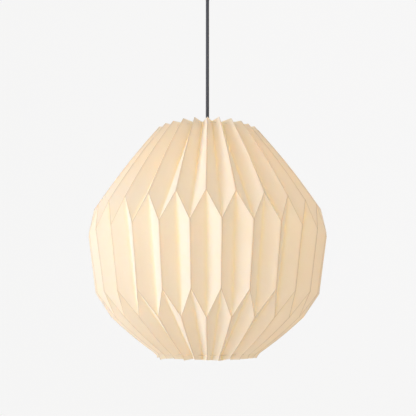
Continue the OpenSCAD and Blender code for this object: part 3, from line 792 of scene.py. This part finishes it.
def make_threads():
    """Two-ply threads through the pleats, each closed by a knot behind a back ridge."""
    for side in ("top", "bottom"):
        low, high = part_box(f"{side}_thread")
        thick = (high.z - low.z) / 2
        z = (high.z + low.z) / 2
        make_ring(side, (high.x - low.x) / 2 - thick, z, thick)
        low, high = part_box(f"{side}_knot")
        make_knot(side, np.array([0, (low.y + high.y) / 2, z]), thick)


# ---- Cup screws ----------------------------------------------------------------------------------
SCREW_HEAD_T = 2.2
SCREW_SHAFT_R = 1.7
SCREW_SHAFT_L = 7.0
# The cross recess: half the width of an arm, its length from the middle, its depth and its soft edge
RECESS_HALF_W, RECESS_ARM, RECESS_DEPTH, RECESS_EDGE = 0.42, 1.9, 1.1, 0.16


def screw_rise(radius, head_r, angle):
    """Height of a domed head with a cross recess, over the points at one radius."""
    across, along = radius * np.cos(angle), radius * np.sin(angle)
    dome = SCREW_HEAD_T * MM * (0.45 + 0.55 * math.sqrt(max(0.0, 1 - (radius / head_r) ** 2)))
    cut = np.zeros_like(angle)
    for a, b in ((across, along), (along, across)):
        inside = np.minimum(RECESS_HALF_W * MM - np.abs(a), RECESS_ARM * MM - np.abs(b)) / (RECESS_EDGE * MM)
        cut = np.maximum(cut, np.clip(inside + 0.5, 0, 1))
    return dome - RECESS_DEPTH * MM * cut


def make_cup_screws():
    """A screw on each side of the ceiling cup, its axis along X."""
    low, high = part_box("canopy_screws")
    head_r, z = (high.z - low.z) / 2, (high.z + low.z) / 2
    under_head = high.x - SCREW_HEAD_T * MM
    angle = circle(96)
    rings = [(r, screw_rise(r, head_r, angle)) for r in np.linspace(0.01 * MM, head_r, 30)]
    shaft_r = SCREW_SHAFT_R * MM
    rings += [(head_r, 0 * angle), (shaft_r, 0 * angle), (shaft_r, 0 * angle - SCREW_SHAFT_L * MM)]
    count = len(angle)
    for side, sign in (("left", -1), ("right", 1)):
        points = np.array([
            np.stack([sign * (under_head + rise), r * np.cos(angle), z + r * np.sin(angle)], 1)
            for r, rise in rings])
        faces = grid_faces(len(rings), count, wrap=True, flip=sign > 0).tolist()
        first, last = list(range(count)), [(len(rings) - 1) * count + k for k in range(count)]
        faces += [first, last[::-1]] if sign > 0 else [first[::-1], last]
        screw = mesh_object(f"cup_screw_{side}", points, faces)
        dressed(screw, SLOT_OF["canopy_screws"], "ceiling_cup", ("canopy_screws",))


# ---- CAD nodes that keep their shape -------------------------------------------------------------
def dress_cad_nodes():
    """Every CAD node's material, from its slot."""
    for name, piece in frame["nodes"].items():
        piece.data.materials.clear()
        piece.data.materials.append(MATERIALS[SLOT_OF[name]])


# ---- Stage ---------------------------------------------------------------------------------------
FLOOR_Z, WALL_R, WALL_BEND_R, WALL_TOP = -1.9, 4.6, 2.4, 5.0
STAGE_SEGMENTS = 128


def make_stage():
    """A pale floor that turns up into a round wall. It shows, but doesn't shade the object."""
    flat_r = WALL_R - WALL_BEND_R
    outline = [(0.0001, FLOOR_Z), (flat_r, FLOOR_Z)]
    for a in np.linspace(0, math.pi / 2, 24)[1:]:
        outline.append((flat_r + WALL_BEND_R * math.sin(a), FLOOR_Z + WALL_BEND_R * (1 - math.cos(a))))
    outline.append((WALL_R, WALL_TOP))
    points = turned_points(outline, STAGE_SEGMENTS)
    floor = mesh_object("studio_floor", points, grid_faces(len(outline), STAGE_SEGMENTS, wrap=True))
    material = new_material("studio_floor", base_color=(0.10, 0.10, 0.10, 1), roughness=0.9,
                            emission_color=(0.985, 0.995, 1, 1), emission_strength=0.83)[0]
    floor.data.materials.append(material)
    floor.visible_shadow = False
    floor.visible_diffuse = False
    floor.visible_glossy = False
    floor.visible_transmission = False


# ---- Light ---------------------------------------------------------------------------------------
# Where the light from all round is strongest, and its strength and colour at its weakest and strongest
WORLD_TOWARDS = (-0.45, -0.89, 0.0)
WORLD_WEAK, WORLD_STRONG = 0.36, 1.03
WORLD_WARM, WORLD_WHITE = (1.0, 0.86, 0.64), (1.0, 0.90, 0.88)
# Where the two area lights point, their side in metres, and each one's place, watts and colour
SHADE_MIDDLE = (0, 0, -0.54)
LIGHT_SIDE = 1.1
AREA_LIGHTS = (
    ("key_light", (-2.0, -1.2, -0.50), 21, (0.70, 0.83, 1.0)),
    ("back_light", (1.2, 2.2, 0.20), 18, (1, 1, 1)),
)


def make_world():
    """Soft studio light from all round, stronger and whiter from the left front."""
    world = bpy.data.worlds.new("studio_light")
    bpy.context.scene.world = world
    world.use_nodes = True
    tree = world.node_tree
    background = tree.nodes["Background"]
    direction = add(tree, "ShaderNodeTexCoord").outputs["Generated"]
    towards = tuple(Vector(WORLD_TOWARDS).normalized())
    dot = add(tree, "ShaderNodeVectorMath", {0: direction, 1: towards}, operation="DOT_PRODUCT")
    facing = spread(tree, dot.outputs["Value"], 0.0, 1.0, -1.0, 1.0)
    level = spread(tree, dot.outputs["Value"], WORLD_WEAK, WORLD_STRONG, -1.0, 1.0)
    tree.links.new(level, background.inputs["Strength"])
    tree.links.new(mix(tree, facing, WORLD_WARM, WORLD_WHITE), background.inputs["Color"])


def make_lights():
    for name, place, watts, colour in AREA_LIGHTS:
        data = bpy.data.lights.new(name, "AREA")
        data.shape = "SQUARE"
        data.size = LIGHT_SIDE
        data.energy = watts
        data.color = colour
        light = bpy.data.objects.new(name, data)
        light.location = place
        heading = Vector(SHADE_MIDDLE) - Vector(place)
        light.rotation_euler = heading.to_track_quat("-Z", "Y").to_euler()
        bpy.context.scene.collection.objects.link(light)


# ---- The scene -----------------------------------------------------------------------------------
make_camera()
dress_cad_nodes()
make_cord()
make_bend_sleeve()
make_cores()
make_shade()
make_threads()
make_cup_screws()
make_stage()
make_world()
make_lights()
bpy.context.scene.view_settings.view_transform = "Standard"
